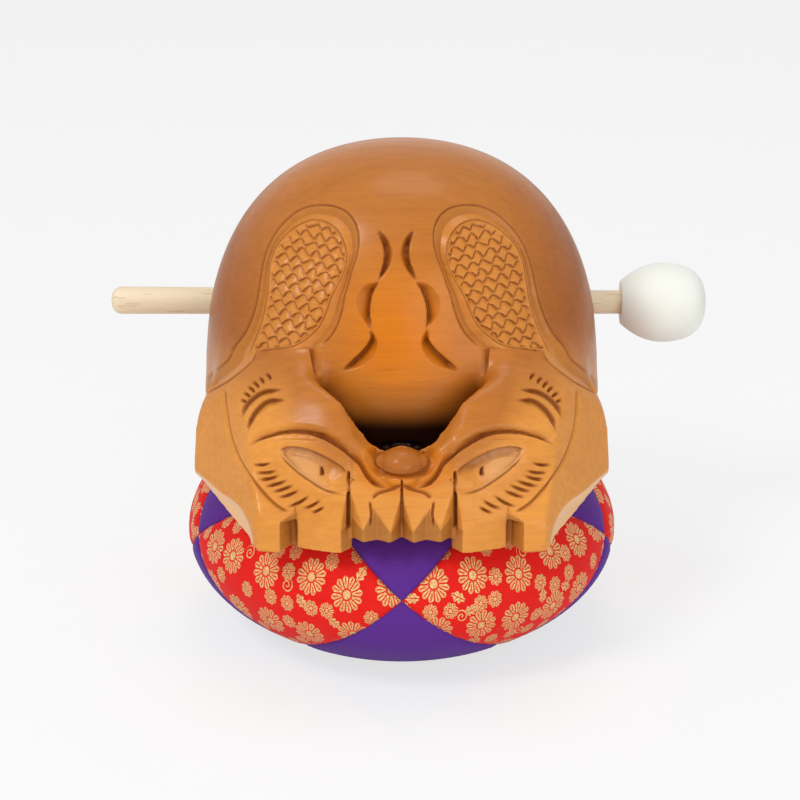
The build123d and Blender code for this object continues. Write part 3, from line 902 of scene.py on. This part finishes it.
def lacquer(points, where, cut):
    """Tones on the drum: cuts with pooled lacquer and painted shade, lighter heads, painted golden bounced
    light in the hollow, painted light on the bevels and eyeballs, and painted shade in the finger gap.
    """
    mm = points * MM
    (u, v), (x, y, z) = where.T, mm.T
    pearl = oval(where, *PEARL)

    light = step(330.0, 450.0, v + 0.12 * u) * (1 - 0.8 * step(1.2, 0.75, oval(where, *AMBER)))
    light = np.maximum(light, 0.36 * step(200.0, 90.0, u))
    banded = within(np.vstack((curve(BAND), curve(BAND_FOOT))), where) & (y < 0) & (z > 100)
    light = np.maximum(light, 0.7 * banded) * (1 - 0.75 * step(1.1, 0.95, pearl) * (y < -50))

    # Painted light: golden in the hollow and in the saddle round the pearl, as from light bounced between
    # dome and heads
    saddle = step(1.3, 0.8, oval(where, *SADDLE)) * (y < -50)
    painted_bounce_light = np.exp(-oval(where, *HOLLOW) ** 2) * (y < -20)
    painted_bounce_light = np.maximum(painted_bounce_light, 0.6 * saddle * step(0.95, 1.1, pearl))

    # Painted light on the fins' lower bevels, and a little on the outer part of the eyeballs
    fin = np.flatnonzero((u > FIN_OUT) & (v > FIN_DOWN) & (y < -30))
    d, side, _ = along(curve(CHAMFER), where[fin])
    eyeball = within(np.vstack((curve(EYE_TOP), curve(EYE_FOOT)[::-1])), where) & (y < -50)
    pale = np.zeros(len(points))
    pale[fin] = 0.85 * step(0.0, 1.5, d) * (side < 0)
    pale = np.maximum(pale, 0.3 * eyeball * step(70.0, 95.0, u))

    # Painted shade in the finger gap: on the dome's wall behind the handle, darker lower down, and below
    # the handle
    on_dome = np.abs(dome_radius(np.maximum(z, DOME_LOW)) - dome_reach(mm)) < 1.6
    wall = on_dome & (dome_short(mm) < 9) & (y < -25) & (y > -71) & (np.abs(x) < 48)
    under = (y < -25) & (y > -64) & (np.abs(x) < 44)
    dark = (0.35 * step(130.0, 114.0, z) + 0.65 * step(117.0, 106.0, z)) * wall
    dark = np.maximum(dark, step(108.0, 100.0, z) * under)
    return {"cut": cut, "light": light, "painted_bounce_light": painted_bounce_light, "pale": pale, "dark": dark}


def make_drum():
    """A fine copy of the drum's solid, eased where the heads grow out of the dome, then carved."""
    obj = fine_copy()
    mesh = obj.data
    ease_form(mesh)
    tree = tree_of(mesh)
    refine(mesh, tree)
    true_handle(mesh)
    where, cut = cut_front(mesh, tree)
    for name, values in lacquer(points_of(mesh), where, cut).items():
        mesh.attributes.new(name, "FLOAT", "POINT").data.foreach_set("value", values.astype(np.float32))
    shade_smooth(mesh)
    mesh.materials.append(carved_wood())
    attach(obj, "drum")
    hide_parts("drum")


make_drum()


# Cushion: its patches, and the points along one before and after it swells

PATCHES = 5
RISE, DROP = 0.52, 0.50
COARSE, FINE = 21, 57

# Sizes in metres: the seams' middle, the cover, where it is held, its swelling, seams and thickness
SEAM_MIDDLE = Vector((0.0, 0.0, 0.0475))
CLOTH = 0.0012
FOOT_HELD, TOP_HELD, TOP_FROM = 0.0012, 0.074, 0.04
SWELL_MOST = 0.0024
TUCK, TUCK_REACH = 0.0011, 0.0022
PUCKER, PUCKER_REACH = 0.00022, 0.006
SHELL, SHELL_FOOT = 0.0011, 0.0006

START_SMALLER = 0.012
SWELL_FRAMES = 20
SWELL_SETTINGS = {
    "quality": 6, "mass": 0.3, "tension_stiffness": 1.0, "compression_stiffness": 1.0,
    "shear_stiffness": 0.5, "bending_stiffness": 0.02, "use_pressure": True,
    "uniform_pressure_force": 60.0, "vertex_group_mass": "held"}

# Millimetres of cloth to a radian round the cushion and up it, and from patch to patch
ROUND, UP, CUT_SHIFT = 90.0, 80.0, 17.0

# The stuffing, as a share of the space under the cover
STUFFED = (0.965, 0.965, 0.955)


def turned(turn, slope):
    """A direction from the cushion's middle: turn in degrees from the front, towards +X."""
    a = math.radians(turn)
    return np.array((math.sin(a), -math.cos(a), slope))


def patch_corners(kind, k):
    """The four directions through a patch's corners."""
    pace = 360.0 / PATCHES
    lean = math.cos(math.radians(pace / 2))
    if kind == "brocade_patch":
        mid = pace * (k + 0.5)
        low, high = turned(mid, -DROP) * lean, turned(mid, RISE) * lean
        return turned(mid - pace / 2, 0), low, turned(mid + pace / 2, 0), high
    mid = pace * k
    slope, pole = (RISE, 1.0) if kind == "top_patch" else (-DROP, -1.0)
    right, left = (turned(mid + way * pace / 2, slope) * lean for way in (1, -1))
    return turned(mid, 0), right, np.array((0, 0, pole)), left


def square(n):
    """Both ways across a grid of n by n points, 0 to 1."""
    line = np.linspace(0, 1, n)
    return np.meshgrid(line, line, indexing="ij")


def quads(n):
    """The faces of a grid of n by n points."""
    return np.array([(i * n + j, i * n + j + 1, (i + 1) * n + j + 1, (i + 1) * n + j)
                     for i in range(n - 1) for j in range(n - 1)])


def rim_of(n):
    """The points round the edge of a grid, in turn."""
    rim = [(0, j) for j in range(n - 1)] + [(i, n - 1) for i in range(n - 1)]
    rim += [(n - 1, j) for j in range(n - 1, 0, -1)] + [(i, 0) for i in range(n - 1, 0, -1)]
    return [i * n + j for i, j in rim]


def patch_grid(tree, kind, k):
    """A patch before it swells: points over the stuffing, between the patch's corners."""
    s, t = square(COARSE)
    a, b, c, d = patch_corners(kind, k)
    ways = ((1 - s) * (1 - t))[..., None] * a + (s * (1 - t))[..., None] * b
    ways = ways + (s * t)[..., None] * c + ((1 - s) * t)[..., None] * d
    ways /= np.linalg.norm(ways, axis=2)[..., None]
    grid = np.empty((COARSE, COARSE, 3))
    for at in np.ndindex(COARSE, COARSE):
        way = Vector(ways[at])
        hit, facing, _, _ = tree.ray_cast(SEAM_MIDDLE + way * 0.3, -way)
        grid[at] = hit + facing * CLOTH
    # The cover starts a little small and swells
    return grid + (np.array(SEAM_MIDDLE) - grid) * START_SMALLER * step(0.002, 0.02, grid[..., 2:3])


def sewn(grids):
    """All patches as one mesh: its points, its faces, and the point that each grid point became."""
    n = COARSE
    flat = np.vstack([g.reshape(-1, 3) for g in grids])
    near = np.round(flat / 2e-5).astype(np.int64)
    _, first, same = np.unique(near, axis=0, return_index=True, return_inverse=True)
    same = same.ravel()
    faces = []
    for k, g in enumerate(grids):
        mid = g[n // 2, n // 2]
        way = np.cross(g[n // 2 + 1, n // 2] - mid, g[n // 2, n // 2 + 1] - mid)
        outward = way @ (mid - np.array(SEAM_MIDDLE)) > 0
        faces.append(same[(quads(n)[:, ::-1] if outward else quads(n)) + k * n * n])
    return flat[first], np.vstack(faces), same


def swell(grids):
    """The sewn cover blown up by a cloth simulation, held at its seams, at its foot and under the drum."""
    n = COARSE
    points, faces, same = sewn(grids)
    obj = mesh_object("cover_sim", points, faces, None)
    rim = np.zeros(n * n, bool)
    rim[rim_of(n)] = True
    held = np.zeros(len(points), bool)
    held[same[np.tile(rim, len(grids))]] = True
    held |= points[:, 2] < FOOT_HELD
    held |= (np.hypot(points[:, 0], points[:, 1]) < TOP_HELD) & (points[:, 2] > TOP_FROM)
    obj.vertex_groups.new(name="held").add([int(i) for i in np.flatnonzero(held)], 1.0, "REPLACE")
    cloth = obj.modifiers.new("cloth", "CLOTH")
    for key, value in SWELL_SETTINGS.items():
        setattr(cloth.settings, key, value)
    cloth.settings.effector_weights.gravity = 0.0
    cloth.collision_settings.use_self_collision = False
    cloth.point_cache.frame_start, cloth.point_cache.frame_end = 1, SWELL_FRAMES
    for f in range(1, SWELL_FRAMES + 1):
        scene.frame_set(f)
        bpy.context.evaluated_depsgraph_get()
    blown = points_of(obj.evaluated_get(bpy.context.evaluated_depsgraph_get()).data)
    bpy.data.objects.remove(obj)
    scene.frame_set(1)
    moved = blown - points
    reach = np.linalg.norm(moved, axis=1)
    capped = SWELL_MOST * np.tanh(reach / SWELL_MOST) / np.maximum(reach, 1e-9)
    out = (points + moved * np.minimum(1.0, capped)[:, None])[same]
    return [out[k * n * n:(k + 1) * n * n].reshape(n, n, 3) for k in range(len(grids))]


def lay_cloth(obj, outer, out, number):
    """Cloth coordinates in millimetres, round the cushion and up it, each patch from its own place."""
    middle = out[FINE // 2, FINE // 2]
    turn = np.arctan2(outer[..., 0], -outer[..., 1]) - math.atan2(middle[0], -middle[1])
    across = ((turn + math.pi) % (2 * math.pi) - math.pi) * ROUND
    rise = np.arctan2(out[..., 2], np.hypot(out[..., 0], out[..., 1])) * UP
    shift = number * CUT_SHIFT
    flat = np.column_stack(((across + shift).ravel(), (rise + 0.6 * shift).ravel()))
    flat = np.vstack((flat, flat))
    uv = obj.data.uv_layers.new(name="cloth")
    corner = values_of(obj.data.loops, "vertex_index", 1, np.int64).ravel()
    uv.data.foreach_set("uv", flat[corner].astype(np.float32).ravel())


def make_patch(name, number, grid, material):
    """One patch as a closed shell of cloth, tucked in and puckered along its seams."""
    n = FINE
    s, t = square(n)
    m = spread(COARSE, n)
    p = np.stack([m @ grid[..., k] @ m.T for k in range(3)], axis=2)
    ds, dt = np.gradient(p, axis=0), np.gradient(p, axis=1)
    normal = np.cross(ds, dt)
    normal /= np.maximum(np.linalg.norm(normal, axis=2), 1e-12)[..., None]
    out = p - np.array(SEAM_MIDDLE)
    if (normal * out).sum() < 0:
        normal = -normal
    span_s, span_t = (np.linalg.norm(way, axis=2).mean() * (n - 1) for way in (ds, dt))
    inward = np.minimum(np.minimum(s, 1 - s) * span_s, np.minimum(t, 1 - t) * span_t)
    waves = np.sin((s + t) * 95.0 + 3.0 * np.sin((s - t) * 21.0))
    sunk = TUCK * np.exp(-inward / TUCK_REACH) + PUCKER * np.exp(-inward / PUCKER_REACH) * waves
    outer = p - normal * sunk[..., None]
    outer[..., 2] = np.maximum(outer[..., 2], 0.0)
    inner = outer - normal * SHELL
    inner[..., 2] = np.maximum(inner[..., 2], SHELL_FOOT)
    points = np.vstack((outer.reshape(-1, 3), inner.reshape(-1, 3)))
    rim = rim_of(n)
    edges = [(a, a + n * n, b + n * n, b) for a, b in zip(rim, rim[1:] + rim[:1])]
    obj = mesh_object(name + "_cloth", points, [*quads(n), *(quads(n)[:, ::-1] + n * n), *edges], material)
    bm = bmesh.new()
    bm.from_mesh(obj.data)
    bmesh.ops.recalc_face_normals(bm, faces=bm.faces)
    bm.to_mesh(obj.data)
    bm.free()
    lay_cloth(obj, outer, out, number)
    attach(obj, "cushion")
    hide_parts(name)


def make_filling():
    """Stuffing just under the cover."""
    filling = solid_copy("stuffing_pad", "cushion_filling")
    filling.data.materials.append(stuffing_cotton())
    middle = np.array(SEAM_MIDDLE)
    put_points(filling.data, middle + (points_of(filling.data) - middle) * np.array(STUFFED))
    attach(filling, "cushion")
    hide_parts("cushion_filling")


def make_cushion():
    """The cover's fifteen patches and the stuffing."""
    tree = tree_of(nodes["cushion_filling"].data)
    kinds = [(kind, k) for kind in ("top_patch", "brocade_patch", "bottom_patch") for k in range(PATCHES)]
    blown = swell([patch_grid(tree, kind, k) for kind, k in kinds])
    purple, brocade = purple_cloth(), red_gold_brocade()
    for number, ((kind, k), grid) in enumerate(zip(kinds, blown)):
        make_patch(f"{kind}_{k + 1}", number, grid, brocade if kind == "brocade_patch" else purple)
    make_filling()


make_cushion()


# Beater

for name, material in (("beater_stick", beech()), ("beater_head", pale_rubber())):
    nodes[name].data.materials.clear()
    nodes[name].data.materials.append(material)


# Stage: pale floor, soft light and the camera

FLOOR = 12.0
FLOOR_LIT = 0.7
WORLD_LIGHT = 0.52
LAMP_AIM = Vector((0, 0, 0.1))


def make_floor():
    """A pale floor that keeps the shadow, and shows part of itself lit to the camera."""
    corners = [(-FLOOR, -FLOOR, 0), (FLOOR, -FLOOR, 0), (FLOOR, FLOOR, 0), (-FLOOR, FLOOR, 0)]
    floor = mesh_object("floor", corners, [(0, 1, 2, 3)], None, False)
    s = Shader("floor")
    paper = s.noise(s.place(), 40.0, 2.0)
    s.set(Base_Color=s.shades(paper, (243, 243, 243), (247, 247, 247)), Roughness=0.9)
    s.set(Specular_IOR_Level=0.0)
    lit = s.node("Emission", inputs={"Color": (1, 1, 1, 1)})
    share = s.times(s.node("LightPath").outputs["Is Camera Ray"], FLOOR_LIT)
    both = s.node("MixShader", inputs={0: share, 1: s.surface.outputs[0], 2: lit.outputs[0]})
    s.put(s.out.inputs[0], both.outputs[0])
    floor.data.materials.append(s.material)


def make_world():
    """A white surround that lights the set more softly than it looks."""
    world = bpy.data.worlds.new("studio")
    scene.world = world
    world.use_nodes = True
    world.node_tree.nodes.clear()
    w = Shader("studio", world.node_tree)
    path = w.node("LightPath").outputs
    shown = w.math("MAXIMUM", path["Is Camera Ray"], path["Is Glossy Ray"])
    shown = w.math("MAXIMUM", shown, path["Is Transmission Ray"])
    strength = w.math("MULTIPLY_ADD", shown, 1.0 - WORLD_LIGHT, WORLD_LIGHT)
    back = w.node("Background", inputs={"Color": (1, 1, 1, 1), "Strength": strength})
    w.put(w.node("OutputWorld").inputs[0], back.outputs[0])


def lamp(name, at, size, power):
    """A round lamp turned to the set."""
    data = bpy.data.lights.new(name, "AREA")
    data.shape, data.size, data.energy = "DISK", size, power
    obj = bpy.data.objects.new(name, data)
    scene.collection.objects.link(obj)
    obj.location = at
    obj.rotation_euler = (LAMP_AIM - Vector(at)).to_track_quat("-Z", "Y").to_euler()


def make_camera():
    data = bpy.data.cameras.new("camera")
    data.lens, data.sensor_width = LENS, SENSOR
    camera = bpy.data.objects.new("camera", data)
    scene.collection.objects.link(camera)
    camera.location = (VIEW_SIDE, EYE.y, EYE.z)
    camera.rotation_euler = (math.pi / 2 - VIEW_TILT, 0, 0)
    scene.camera = camera
    scene.view_settings.view_transform = "Standard"


make_floor()
make_world()
lamp("key", (-0.75, -0.9, 1.35), size=0.5, power=9.5)
lamp("fill", (0.6, -1.5, 0.3), size=1.2, power=8.0)
lamp("top", (0.1, 0.2, 1.8), size=0.9, power=5.0)
make_camera()
